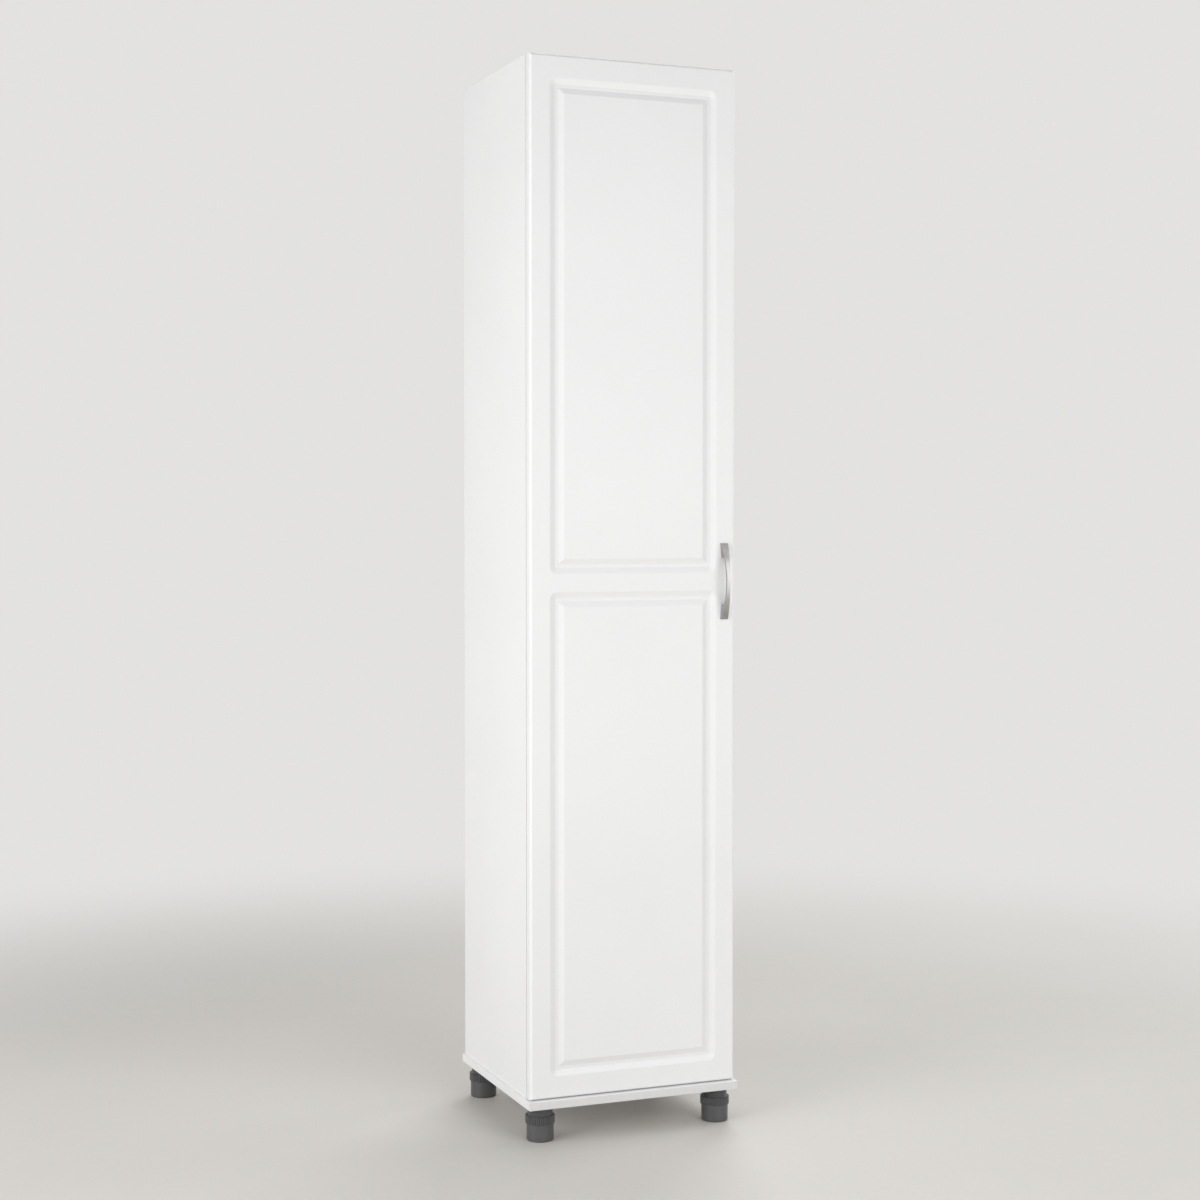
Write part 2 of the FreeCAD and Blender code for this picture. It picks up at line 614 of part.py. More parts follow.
def door_panel():
    body = new_body("door_body", y=DOOR_BACK_Y, z=DOOR_Z)
    outline = new_sketch(body, "door_outline", "XZ_Plane")
    draw_rectangle(outline, LEFT_X, "(carcass_width / 2)", "0", DOOR_HEIGHT)
    slab = sweep_sketch(body, "Pad", "door_slab", outline, "door_board")
    fillet(body, "door_front_round", slab, "door_round",
           lambda edge: edge.BoundBox.YMax < NEAR - sheet.door_board)

    # A groove round each field, with rounded corners and a sloped outer wall
    track = new_sketch(body, "route_outline", "XZ_Plane", "door_board")
    for field in FIELDS:
        draw_field(track, field, "route_slope")
    groove = sweep_sketch(body, "Pocket", "route_groove", track, "route_depth")
    corners = fillet(body, "route_corners", groove, "route_corner", runs_inward(sheet.route_depth))
    wall = chamfer(body, "route_wall", corners, "route_slope", "route_depth - route_land",
                   lies_at(0, sheet.route_slope))
    fillet(body, "route_wall_arris", wall, "route_arris", lies_at(0, 0))

    # Raised fields with long mitred bevels
    for field in FIELDS:
        foot = new_sketch(body, f"{field}_field_foot", "XZ_Plane", "door_board - route_depth")
        draw_field(foot, field, "route_floor")
        crown = new_sketch(body, f"{field}_field_crown", "XZ_Plane", "door_board")
        draw_field(crown, field, "route_width")
        raised = body.newObject("PartDesign::AdditiveLoft", f"{field}_field")
        raised.Profile = foot
        raised.Sections = [crown]
        raised.Ruled = True
        doc.recompute()

    # Bores from the back: hinge cups with their screws, and the handle's sunk screws
    cups = new_sketch(body, "cup_bores", "XZ_Plane")
    cup_screw_bores = new_sketch(body, "cup_screw_bores", "XZ_Plane")
    for number in HINGES:
        middle = f"({HINGE_HEIGHTS[number]} - {DOOR_Z})"
        draw_circle(cups, f"({LEFT_X} + {CUP_X})", middle, "cup_radius + cup_fit")
        for sign in (-1, 1):
            draw_circle(cup_screw_bores, f"({LEFT_X} + {CUP_X} + ear_offset)",
                        f"({middle} + {sign} * ear_pitch / 2)", "small_screw_radius")
    handle_bores = new_sketch(body, "handle_bores", "XZ_Plane")
    handle_sinks = new_sketch(body, "handle_sinks", "XZ_Plane")
    for sign in (-1, 1):
        middle = f"(middle_rail_height + {sign} * handle_screw_pitch / 2)"
        draw_circle(handle_bores, HANDLE_X, middle, "handle_screw_radius")
        draw_circle(handle_sinks, HANDLE_X, middle, "handle_head_radius + cup_fit")
    sweep_sketch(body, "Pocket", "cup_holes", cups, "cup_depth + cup_fit", reverse=True)
    sweep_sketch(body, "Pocket", "cup_screw_holes", cup_screw_bores, "small_screw_length - flange_sheet",
                 reverse=True)
    sweep_sketch(body, "Pocket", "handle_holes", handle_bores, "door_board", reverse=True)
    body.Tip = sweep_sketch(body, "Pocket", "handle_head_holes", handle_sinks, "handle_head", reverse=True)
    piece(body, "door_panel")


def bow_radius(half_chord, rise):
    """Radius of an arc with that half chord and rise, as a formula."""
    return f"((({half_chord})^2 + ({rise})^2) / (2 * ({rise})))"


def handle():
    """A bow: one arc outside, a tighter one inside, and a waist in its width."""
    half = "(handle_length / 2)"
    left = f"({HANDLE_X} - handle_end_width / 2)"
    crest_y = f"({DOOR_FACE_Y} - handle_reach)"
    blank = box("handle_blank", (left, crest_y, f"({HANDLE_Z} - {half})"),
                ("handle_end_width", "handle_reach", "handle_length"))
    bow = bow_radius(half, "handle_reach - handle_end_rise")
    axle = (left, f"({crest_y} + {bow})", HANDLE_Z)
    crown = rod("handle_crown", axle, "x", bow, "handle_end_width")
    arch = common("handle_arch", blank, crown)
    vault = rod("handle_vault", axle, "x", f"({bow} - handle_strap)", "handle_end_width")
    room = box("handle_room", (left, crest_y, f"({HANDLE_Z} - handle_grip / 2)"),
               ("handle_end_width", "2 * handle_reach", "handle_grip"))
    tools = [common("handle_gap", room, vault)]
    hollow = bow_radius(half, "(handle_end_width - handle_waist) / 2")
    for side in SIDES:
        middle = f"({HANDLE_X} + {SIDES[side]} * (handle_waist / 2 + {hollow}))"
        start = (middle, DOOR_FACE_Y, HANDLE_Z)
        tools.append(rod(f"handle_{side}_waist", start, "-y", hollow, "handle_reach"))
    for end, sign in (("lower", -1), ("upper", 1)):
        start = (HANDLE_X, DOOR_FACE_Y, f"({HANDLE_Z} + {sign} * handle_screw_pitch / 2)")
        tools.append(rod(f"handle_{end}_thread", start, "-y", "handle_screw_radius", "handle_screw_grip"))
    strap = arch
    for tool in tools:
        trimmed = doc.addObject("Part::Cut", f"{tool.Name}_cut")
        trimmed.Base = strap
        trimmed.Tool = tool
        strap = trimmed
    doc.recompute()
    rounded = doc.addObject("Part::Fillet", "handle_rounded")
    rounded.Base = strap
    rounded.Edges = [(i, sheet.handle_round, sheet.handle_round)
                     for i, edge in enumerate(strap.Shape.Edges, start=1) if edge.Length > sheet.handle_grip]
    piece(rounded, "handle")


def handle_screws():
    screws = []
    for end, sign in (("lower", -1), ("upper", 1)):
        start = (HANDLE_X, DOOR_BACK_Y, f"({HANDLE_Z} + {sign} * handle_screw_pitch / 2)")
        screws.append(screw(f"handle_screw_{end}", start, "-y", "handle_head_radius", "handle_head",
                            "handle_screw_radius", "door_board - handle_head + handle_screw_grip"))
    piece(group("handle_screw_set", screws), "handle_screws")


def door_bumpers():
    bumpers = []
    for end, z in (("lower", f"({DOOR_Z} + board)"), ("upper", f"({DOOR_Z} + {DOOR_HEIGHT} - board)")):
        start = (side_end_x("right"), DOOR_BACK_Y, z)
        bumpers.append(rod(f"bumper_{end}", start, "y", "bumper_radius", "bumper_height"))
    piece(group("bumper_set", bumpers), "door_bumpers")


# Concealed hinges: a cup in the door, a bent link, and an arm on a mount inside the left side
def hinge_x(across):
    return f"({LEFT_X} + {across})"


def hinge_cup(number):
    z = HINGE_HEIGHTS[number]
    tag = f"cup_{number}"
    rim = (hinge_x(CUP_X), DOOR_BACK_Y, z)
    bowl = rod(f"{tag}_bowl", rim, "-y", "cup_radius", "cup_depth")
    flange = rod(f"{tag}_flange", rim, "y", "flange_radius", "flange_sheet")
    ears = box(f"{tag}_ears", (hinge_x(f"({CUP_X} + ear_offset - ear_width / 2)"), DOOR_BACK_Y,
                               f"({z} - ear_pitch / 2 - ear_margin)"),
               ("ear_width", "flange_sheet", "ear_pitch + 2 * ear_margin"))
    mouth = (hinge_x(CUP_X), f"({DOOR_BACK_Y} + flange_sheet)", z)
    tools = [rod(f"{tag}_hollow", mouth, "-y", "cup_radius - cup_sheet",
                 "cup_depth - cup_sheet + flange_sheet")]
    for sign in (-1, 1):
        start = (hinge_x(f"({CUP_X} + ear_offset)"), DOOR_BACK_Y, f"({z} + {sign} * ear_pitch / 2)")
        tools.append(rod(f"{tag}_hole_{'up' if sign > 0 else 'down'}", start, "y",
                         "small_screw_radius", "flange_sheet"))
    hollowed = cut(f"{tag}_hollowed", fuse(f"{tag}_solid", [bowl, flange, ears]), tools)
    piece(cut(tag, hollowed, [cup_pin(f"{tag}_pin_bore", z)]), f"hinge_cup_{number + 1}")


def cup_pin(name, z):
    """The pin across the cup, from wall to wall."""
    half = "sqrt((cup_radius - cup_sheet / 4)^2 - (cup_edge + cup_radius - cup_pivot_x + pivot_radius)^2)"
    start = (hinge_x("cup_pivot_x"), f"({FRONT_Y} - cup_pivot_out)", f"({z} - {half})")
    return rod(name, start, "z", "pivot_radius", f"2 * {half}")


def arm_pin(name, z):
    start = (hinge_x("arm_pivot_x"), f"({FRONT_Y} - arm_pivot_out)", f"({z} - arm_width / 2)")
    return rod(name, start, "z", "pivot_radius", "arm_width")


def hinge_arm(number):
    """A channel with two cheeks; its web lies on the mount's rail and its nose carries the link."""
    body = new_body(f"arm_{number}", LEFT_X, FRONT_Y, HINGE_HEIGHTS[number])
    low = "(board + mount_base + arm_sheet / 3)"
    high = "(board + mount_rise + arm_sheet)"
    rail_front = "(arm_rear - arm_overhang - mount_rail_length - arm_sheet)"
    nose = "(-arm_pivot_out)"
    outline = [
        (low, "arm_rear"), (high, "arm_rear"), (high, rail_front),
        ("(arm_pivot_x + arm_nose)", f"({nose} + arm_nose / 3)"),
        ("(arm_pivot_x + arm_nose * 0.7)", f"({nose} - arm_nose * 0.8)"),
        ("(arm_pivot_x - arm_nose * 0.3)", f"({nose} - arm_nose)"),
        ("(arm_pivot_x - arm_nose)", nose),
        ("(arm_pivot_x - 3 * arm_nose)", f"({rail_front} / 2)"), (low, f"({rail_front} - arm_sheet)"),
    ]
    cheeks = new_sketch(body, f"arm_{number}_outline", "XY_Plane")
    draw_polygon(cheeks, outline)
    sweep_sketch(body, "Pad", f"arm_{number}_block", cheeks, "arm_width", side="Symmetric")
    channel = new_sketch(body, f"arm_{number}_channel", "XY_Plane")
    inner_high = "(board + mount_rise)"
    draw_polygon(channel, [
        (f"({low} - arm_sheet)", "arm_rear + arm_sheet"), (inner_high, "arm_rear + arm_sheet"),
        (inner_high, rail_front), ("(arm_pivot_x - arm_nose / 2)", "arm_nose"),
        ("(arm_pivot_x + 2 * arm_nose)", "0"),
        ("(arm_pivot_x + 2 * arm_nose)", f"({nose} - 2 * arm_nose)"),
        (f"({low} - arm_sheet)", f"({nose} - 2 * arm_nose)"),
    ])
    sweep_sketch(body, "Pocket", f"arm_{number}_hollow", channel, "arm_width - 2 * arm_sheet",
                 side="Symmetric")
    bore = new_sketch(body, f"arm_{number}_pin_bore", "XY_Plane")
    draw_circle(bore, "arm_pivot_x", nose, "pivot_radius")
    body.Tip = sweep_sketch(body, "Pocket", f"arm_{number}_bore", bore, "2 * arm_width", side="Symmetric")
    piece(body, f"hinge_arm_{number + 1}")


def hinge_mount(number):
    """A winged foot screwed to the side, with the rail that the arm slides on."""
    z = HINGE_HEIGHTS[number]
    tag = f"mount_{number}"
    foot = box(f"{tag}_foot", (hinge_x("board"), f"({FRONT_Y} + mount_setback - mount_foot_depth / 2)",
                               f"({z} - mount_foot_height / 2)"),
               ("mount_base", "mount_foot_depth", "mount_foot_height"))
    rail = box(f"{tag}_rail", (hinge_x("board"), f"({FRONT_Y} + arm_rear - arm_overhang - mount_rail_length)",
                               f"({z} - mount_rail_width / 2)"),
               ("mount_rise", "mount_rail_length", "mount_rail_width"))
    holes = []
    for height in mount_screw_heights(number):
        start = (hinge_x("board"), f"({FRONT_Y} + mount_setback)", height)
        holes.append(rod(f"{tag}_hole_{len(holes)}", start, "x", "small_screw_radius", "mount_base"))
    piece(cut(tag, fuse(f"{tag}_solid", [foot, rail]), holes), f"hinge_mount_{number + 1}")


def hinge_link(number):
    """A strap bent along an arc from the cup's pin to the arm's pin, with an eye at each end."""
    arm = Vector(sheet.arm_pivot_x, -sheet.arm_pivot_out, 0)
    cup = Vector(sheet.cup_pivot_x, -sheet.cup_pivot_out, 0)
    chord = arm - cup
    across = Vector(chord.y, -chord.x, 0).normalize()
    bow = (arm + cup) * 0.5 + across * sheet.link_bow
    arc = Part.Arc(cup, bow, arm).toShape().Curve
    edges = []
    for half in (sheet.link_sheet / 2, -sheet.link_sheet / 2):
        scale = (arc.Radius + half) / arc.Radius
        edges.append([arc.Center + (point - arc.Center) * scale for point in (cup, bow, arm)])
    (outer_cup, outer_bow, outer_arm), (inner_cup, inner_bow, inner_arm) = edges
    outline = Part.Wire([
        Part.Arc(outer_cup, outer_bow, outer_arm).toShape(), Part.makeLine(outer_arm, inner_arm),
        Part.Arc(inner_arm, inner_bow, inner_cup).toShape(), Part.makeLine(inner_cup, outer_cup),
    ])
    width = sheet.link_width
    rise = Vector(0, 0, width)
    low = Vector(0, 0, -width / 2)
    strap = Part.Face(outline).extrude(rise)
    strap.translate(low)
    eyes = [Part.makeCylinder(sheet.link_eye, width, pivot + low) for pivot in (arm, cup)]
    bore = sheet.pivot_radius + sheet.pivot_fit
    bores = [Part.makeCylinder(bore, width, pivot + low) for pivot in (arm, cup)]
    feature = doc.addObject("Part::Feature", f"link_{number}")
    feature.Shape = strap.multiFuse(eyes).removeSplitter().cut(bores)
    place(feature, LEFT_X, FRONT_Y, HINGE_HEIGHTS[number])
    piece(feature, f"hinge_link_{number + 1}")


def hinge_fixings():
    piece(group("cup_pin_set", [cup_pin(f"cup_pin_{n}", HINGE_HEIGHTS[n]) for n in HINGES]), "cup_pins")
    piece(group("arm_pin_set", [arm_pin(f"arm_pin_{n}", HINGE_HEIGHTS[n]) for n in HINGES]), "arm_pins")
    small = ("small_head_radius", "small_head", "small_screw_radius", "small_screw_length")
    cup_screws = []
    mount_screws = []
    for number in HINGES:
        for sign in (-1, 1):
            start = (hinge_x(f"({CUP_X} + ear_offset)"), f"({DOOR_BACK_Y} + flange_sheet + small_head)",
                     f"({HINGE_HEIGHTS[number]} + {sign} * ear_pitch / 2)")
            cup_screws.append(screw(f"cup_screw_{len(cup_screws)}", start, "-y", *small))
        for z in mount_screw_heights(number):
            start = (hinge_x("(board + mount_base + small_head)"), f"({FRONT_Y} + mount_setback)", z)
            mount_screws.append(screw(f"mount_screw_{len(mount_screws)}", start, "-x", *small))
    piece(group("cup_screw_set", cup_screws), "cup_screws")
    piece(group("mount_screw_set", mount_screws), "mount_screws")


# Levelling feet: a neck under the plate and a cup with a fluted collar that runs on it
FOOT_X = "(carcass_width / 2 + plate_side_lip - foot_inset)"
FOOT_FRONT_Y = f"({DOOR_FACE_Y} - plate_front_lip + foot_inset)"
FOOT_REAR_Y = f"({REAR_Y} - foot_inset)"
FEET = {
    "front_left": (f"(-{FOOT_X})", FOOT_FRONT_Y),
    "front_right": (FOOT_X, FOOT_FRONT_Y),
    "rear_left": (f"(-{FOOT_X})", FOOT_REAR_Y),
    "rear_right": (FOOT_X, FOOT_REAR_Y),
}


def foot_socket(corner):
    x, y = FEET[corner]
    neck = rod(f"{corner}_neck", (x, y, "(foot_height - neck_length)"), "z", "neck_radius", "neck_length")
    hollow = rod(f"{corner}_neck_hollow", (x, y, "(foot_height - neck_length)"), "z",
                 "neck_radius - neck_wall", "neck_length - neck_wall")
    hole = rod(f"{corner}_neck_hole", (x, y, "(foot_height - neck_wall)"), "z",
               "small_screw_radius", "neck_wall")
    tube = cut(f"{corner}_tube", neck, [hollow])
    piece(cut(f"{corner}_socket", tube, [hole]), f"foot_socket_{corner}")


def foot_cup(corner):
    body = new_body(f"{corner}_cup", *FEET[corner])
    profile = new_sketch(body, f"{corner}_cup_profile", "XZ_Plane")
    bore = "(neck_radius + neck_fit)"
    shoulder = "(foot_cup_height - foot_collar_height)"
    draw_polygon(profile, [
        ("0", "0"), ("(foot_radius - foot_arris)", "0"), ("foot_radius", "foot_arris"),
        ("foot_radius", shoulder), ("foot_collar_radius", shoulder),
        ("foot_collar_radius", "foot_cup_height"), (bore, "foot_cup_height"),
        (bore, "foot_floor"), ("0", "foot_floor"),
    ])
    turned = body.newObject("PartDesign::Revolution", f"{corner}_cup_turned")
    turned.Profile = profile
    turned.ReferenceAxis = (profile, ["V_Axis"])
    turned.Angle = 360
    notch = new_sketch(body, f"{corner}_flute_outline", "XY_Plane", shoulder)
    clear = "(foot_collar_radius + flute_depth)"
    draw_polygon(notch, [
        ("(foot_collar_radius - flute_depth)", "0"), (clear, "(-flute_width)"), (clear, "flute_width"),
    ])
    flute = sweep_sketch(body, "Pocket", f"{corner}_flute", notch, "foot_collar_height", reverse=True)
    doc.recompute()
    flutes = body.newObject("PartDesign::PolarPattern", f"{corner}_flutes")
    flutes.Originals = [flute]
    flutes.Axis = (notch, ["N_Axis"])
    flutes.Angle = 360
    bind(flutes, Occurrences="flute_count")
    body.Tip = flutes
    piece(body, f"foot_cup_{corner}")


def foot_screws():
    screws = []
    for corner, (x, y) in FEET.items():
        start = (x, y, "(foot_height - neck_wall - small_head)")
        screws.append(screw(f"{corner}_foot_screw", start, "z", "small_head_radius", "small_head",
                            "small_screw_radius", "neck_wall + foot_screw_in"))
    piece(group("foot_screw_set", screws), "foot_screws")


def check_document():
    """Stop on any failed feature or bad shape."""
    failed = [item.Label for item in doc.Objects if {"Invalid", "Error"} & set(item.State)]
    if failed:
        raise RuntimeError(f"failed features: {failed}")
    for item in pieces:
        if item.Shape.isNull() or not item.Shape.isValid() or not item.Shape.Solids:
            raise RuntimeError(f"bad shape: {item.Label}")


for side_name in SIDES:
    side_panel(side_name)
top_panel()
cam_board("shelf", "fixed_shelf")
base_plate()
adjustable_shelf()
shelf_pins()
cam_fixings()
dowels()
base_screws()
back_panels()
wall_bracket()
door_panel()
handle()
handle_screws()
door_bumpers()
for hinge_number in HINGES:
    hinge_cup(hinge_number)
    hinge_arm(hinge_number)
    hinge_mount(hinge_number)
    hinge_link(hinge_number)
hinge_fixings()
for foot_corner in FEET:
    foot_socket(foot_corner)
    foot_cup(foot_corner)
foot_screws()
doc.recompute()
check_document()

os.makedirs("parts", exist_ok=True)
for item in pieces:
    item.Shape.exportStep(f"parts/{item.Label}.step")
    print(f"{item.Label}: {len(item.Shape.Solids)} solids, {item.Shape.Volume / 1000:.2f} cm3")
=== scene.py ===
"""Looks of the tall white broom cupboard: materials, small fittings, light and camera, in metres."""

import json
import math

import bmesh
import bpy
from mathutils import Matrix, Vector


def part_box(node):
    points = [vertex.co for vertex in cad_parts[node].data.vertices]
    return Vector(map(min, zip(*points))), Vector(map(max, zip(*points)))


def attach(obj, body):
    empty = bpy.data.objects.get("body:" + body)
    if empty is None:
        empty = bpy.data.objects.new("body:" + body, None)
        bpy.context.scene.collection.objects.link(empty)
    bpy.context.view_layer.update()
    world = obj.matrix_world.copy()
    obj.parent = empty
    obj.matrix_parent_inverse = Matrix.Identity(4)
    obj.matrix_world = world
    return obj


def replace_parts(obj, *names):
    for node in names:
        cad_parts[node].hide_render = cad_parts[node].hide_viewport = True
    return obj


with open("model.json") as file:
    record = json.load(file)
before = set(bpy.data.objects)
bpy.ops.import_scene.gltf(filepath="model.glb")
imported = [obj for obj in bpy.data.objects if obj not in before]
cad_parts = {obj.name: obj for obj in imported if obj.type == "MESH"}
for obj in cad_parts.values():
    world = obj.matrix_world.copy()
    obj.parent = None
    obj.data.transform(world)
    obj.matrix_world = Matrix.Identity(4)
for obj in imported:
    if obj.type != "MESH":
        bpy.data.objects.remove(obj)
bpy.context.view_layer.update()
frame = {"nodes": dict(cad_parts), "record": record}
NODES = frame["nodes"]

MM = 0.001
CORNERS = ("front_left", "front_right", "rear_left", "rear_right")
HINGES = (1, 2, 3, 4)


# Shader building blocks
RAMP_STOPS = (0.3, 0.7)


def new_material(name, **settings):
    """A material whose constant values sit on the shader's own sockets."""
    material = bpy.data.materials.new(name)
    material.use_nodes = True
    shader = material.node_tree.nodes["Principled BSDF"]
    for socket, value in settings.items():
        shader.inputs[socket.replace("_", " ")].default_value = value
    return material, material.node_tree, shader


def add_node(tree, kind, **inputs):
    """A node with some of its inputs set."""
    node = tree.nodes.new(kind)
    for socket, value in inputs.items():
        node.inputs[socket.replace("_", " ")].default_value = value
    return node


def object_points(tree, stretch=(1, 1, 1)):
    """Points on the object, stretched along its axes."""
    coordinates = tree.nodes.new("ShaderNodeTexCoord")
    mapping = add_node(tree, "ShaderNodeMapping", Scale=stretch)
    tree.links.new(coordinates.outputs["Object"], mapping.inputs["Vector"])
    return mapping.outputs["Vector"]


def noise(tree, points, scale, detail=2.0):
    """Noise with that many waves to the metre."""
    texture = add_node(tree, "ShaderNodeTexNoise", Scale=scale, Detail=detail)
    tree.links.new(points, texture.inputs["Vector"])
    return texture.outputs["Fac"]


def ramp(tree, value, low, high):
    """Two colours blended over the middle of a factor's range."""
    blend = tree.nodes.new("ShaderNodeValToRGB")
    for stop, place, colour in zip(blend.color_ramp.elements, RAMP_STOPS, (low, high)):
        stop.position = place
        stop.color = (*colour, 1.0)
    tree.links.new(value, blend.inputs["Fac"])
    return blend.outputs["Color"]


def spread(tree, value, low, high):
    """A factor from 0 to 1 turned into a range of numbers."""
    scaled = add_node(tree, "ShaderNodeMapRange", To_Min=low, To_Max=high)
    tree.links.new(value, scaled.inputs["Value"])
    return scaled.outputs["Result"]


def bump(tree, heights):
    """Bumps stacked on each other; each is a factor and its height in metres."""
    normal = None
    for value, height in heights:
        layer = add_node(tree, "ShaderNodeBump", Strength=1.0, Distance=height)
        tree.links.new(value, layer.inputs["Height"])
        if normal:
            tree.links.new(normal, layer.inputs["Normal"])
        normal = layer.outputs["Normal"]
    return normal


def finish_material(tree, shader, colour, roughness, normal=None):
    """Link what varies over the surface to the shader."""
    for socket, output in (("Base Color", colour), ("Roughness", roughness), ("Normal", normal)):
        if output:
            tree.links.new(output, shader.inputs[socket])


# Materials
def door_foil():
    """Satin white film over the routed door, with the faint waviness of a pressed film."""
    material, tree, shader = new_material("door_foil", Specular_IOR_Level=0.38)
    points = object_points(tree)
    clouds = noise(tree, points, scale=3, detail=3)
    colour = ramp(tree, clouds, (0.842, 0.844, 0.848), (0.864, 0.866, 0.870))
    roughness = spread(tree, noise(tree, points, scale=35), 0.37, 0.45)
    peel = noise(tree, points, scale=180, detail=1)
    grain = noise(tree, points, scale=1400)
    finish_material(tree, shader, colour, roughness, bump(tree, [(peel, 0.04 * MM), (grain, 0.02 * MM)]))
    return material


def board_white():
    """White melamine on the boards, with a fine pearled surface."""
    material, tree, shader = new_material("board_white", Specular_IOR_Level=0.4)
    points = object_points(tree)
    clouds = noise(tree, points, scale=4, detail=3)
    colour = ramp(tree, clouds, (0.842, 0.844, 0.847), (0.866, 0.868, 0.871))
    roughness = spread(tree, noise(tree, points, scale=60), 0.40, 0.50)
    pearl = noise(tree, points, scale=700, detail=3)
    finish_material(tree, shader, colour, roughness, bump(tree, [(pearl, 0.05 * MM)]))
    return material


def edge_band(name, shade):
    """Smooth strip glued on a board's front edge, at the grey level given as shade; the base plate's darker
    copy is painted shade.
    """
    contrast = 0.013
    material, tree, shader = new_material(name, Specular_IOR_Level=0.5)
    streaks = noise(tree, object_points(tree, (1, 1, 0.1)), scale=500)
    colour = ramp(tree, streaks, (shade - contrast,) * 3, (shade + contrast,) * 3)
    roughness = spread(tree, streaks, 0.28, 0.36)
    finish_material(tree, shader, colour, roughness, bump(tree, [(streaks, 0.02 * MM)]))
    return material


def chipboard():
    """Raw board in drilled holes and on hidden edges."""
    material, tree, shader = new_material("chipboard", Specular_IOR_Level=0.2)
    chips = noise(tree, object_points(tree), scale=900, detail=4)
    colour = ramp(tree, chips, (0.30, 0.20, 0.11), (0.56, 0.42, 0.26))
    roughness = spread(tree, chips, 0.8, 0.95)
    finish_material(tree, shader, colour, roughness, bump(tree, [(chips, 0.2 * MM)]))
    return material


def hardboard_brown():
    """Raw fibre side of the thin back panels, in lighter and darker clouds."""
    material, tree, shader = new_material("hardboard_brown", Specular_IOR_Level=0.25)
    points = object_points(tree)
    fibres = noise(tree, points, scale=420, detail=6)
    clouds = noise(tree, points, scale=14, detail=3)
    colour = tree.nodes.new("ShaderNodeMix")
    colour.data_type = "RGBA"
    tree.links.new(clouds, colour.inputs["Factor"])
    tree.links.new(ramp(tree, fibres, (0.23, 0.145, 0.08), (0.31, 0.20, 0.115)), colour.inputs["A"])
    tree.links.new(ramp(tree, fibres, (0.27, 0.175, 0.10), (0.36, 0.24, 0.145)), colour.inputs["B"])
    roughness = spread(tree, fibres, 0.62, 0.78)
    finish_material(tree, shader, colour.outputs["Result"], roughness, bump(tree, [(fibres, 0.06 * MM)]))
    return material


def metal(name, dark, light, rough, brush_along=(1, 1, 1), brush_scale=900, depth=0.01 * MM, **settings):
    """Plated metal with a fine brushed or rolled surface."""
    material, tree, shader = new_material(name, Metallic=1.0, **settings)
    lines = noise(tree, object_points(tree, brush_along), brush_scale, detail=3)
    clouds = noise(tree, object_points(tree), scale=60)
    colour = ramp(tree, clouds, dark, light)
    finish_material(tree, shader, colour, spread(tree, lines, *rough), bump(tree, [(lines, depth)]))
    return material


def foot_plastic():
    """Dark grey moulded plastic with a fine spark-eroded grain."""
    material, tree, shader = new_material("foot_plastic", Specular_IOR_Level=0.62)
    points = object_points(tree)
    clouds = noise(tree, points, scale=45, detail=3)
    colour = ramp(tree, clouds, (0.068, 0.069, 0.071), (0.086, 0.087, 0.089))
    grain = noise(tree, points, scale=2600)
    roughness = spread(tree, noise(tree, points, scale=200), 0.34, 0.44)
    finish_material(tree, shader, colour, roughness, bump(tree, [(grain, 0.05 * MM)]))
    return material


def dowel_beech():
    """Bare beech with its grain along the height."""
    material, tree, shader = new_material("dowel_beech", Specular_IOR_Level=0.3)
    rays = noise(tree, object_points(tree, (1, 1, 0.2)), scale=1200, detail=4)
    colour = ramp(tree, rays, (0.50, 0.33, 0.18), (0.66, 0.47, 0.28))
    roughness = spread(tree, rays, 0.6, 0.75)
    finish_material(tree, shader, colour, roughness, bump(tree, [(rays, 0.05 * MM)]))
    return material


def clear_bumper():
    """Soft, half-clear plastic."""
    material, tree, shader = new_material("clear_bumper", Transmission_Weight=0.55, IOR=1.42)
    points = object_points(tree)
    colour = ramp(tree, noise(tree, points, scale=300), (0.80, 0.82, 0.81), (0.88, 0.89, 0.88))
    finish_material(tree, shader, colour, spread(tree, noise(tree, points, scale=900), 0.22, 0.34))
    return material


MATERIALS = {
    "door": door_foil(),
    "board": board_white(),
    "edging": edge_band("edge_band", 0.85),
    # The base plate's edging is the same strip made darker: painted shade for its low front face near the
    # floor.
    "plate_edging_painted_shade": edge_band("plate_band_painted_shade", 0.725),
    "raw": chipboard(),
    "hardboard": hardboard_brown(),
    "nickel": metal("satin_nickel", (0.38, 0.377, 0.37), (0.45, 0.447, 0.44), rough=(0.36, 0.48),
                    brush_along=(1, 1, 0.03), brush_scale=1600, depth=0.012 * MM, Anisotropic=0.35),
    "hinge": metal("hinge_nickel", (0.46, 0.455, 0.445), (0.55, 0.543, 0.53), rough=(0.32, 0.44),
                   brush_along=(0.15, 1, 1)),
    "zinc": metal("zinc_plate", (0.52, 0.54, 0.57), (0.66, 0.66, 0.65), rough=(0.26, 0.40)),
    "foot": foot_plastic(),
    "beech": dowel_beech(),
    "bumper": clear_bumper(),
}


# Dress the solids
SMOOTH_ANGLE = math.radians(20)
HOLE_MARGIN = 1.6 * MM
FACE_MARGIN = 0.1 * MM
ROUTING_DEPTH = 4.5 * MM
FACING = 0.9


def dress(node, *keys):
    """Give a solid its materials, and smooth shading across its shallow edges."""
    mesh = NODES[node].data
    mesh.materials.clear()
    for key in keys:
        mesh.materials.append(MATERIALS[key])
    mesh.shade_smooth()
    mesh.set_sharp_from_angle(angle=SMOOTH_ANGLE)
    return mesh.polygons


def dress_board(node, edging="edging"):
    """A coated board with an edging strip in front, and raw chipboard in its holes and at its rear edge."""
    keys = ("board", "raw", edging)
    low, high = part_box(node)
    for face in dress(node, *keys):
        inside = min(min(at - lowest, highest - at) for at, lowest, highest in zip(face.center, low, high))
        if inside > HOLE_MARGIN or face.normal.y > FACING:
            face.material_index = keys.index("raw")
        elif face.normal.y < -FACING:
            face.material_index = keys.index(edging)


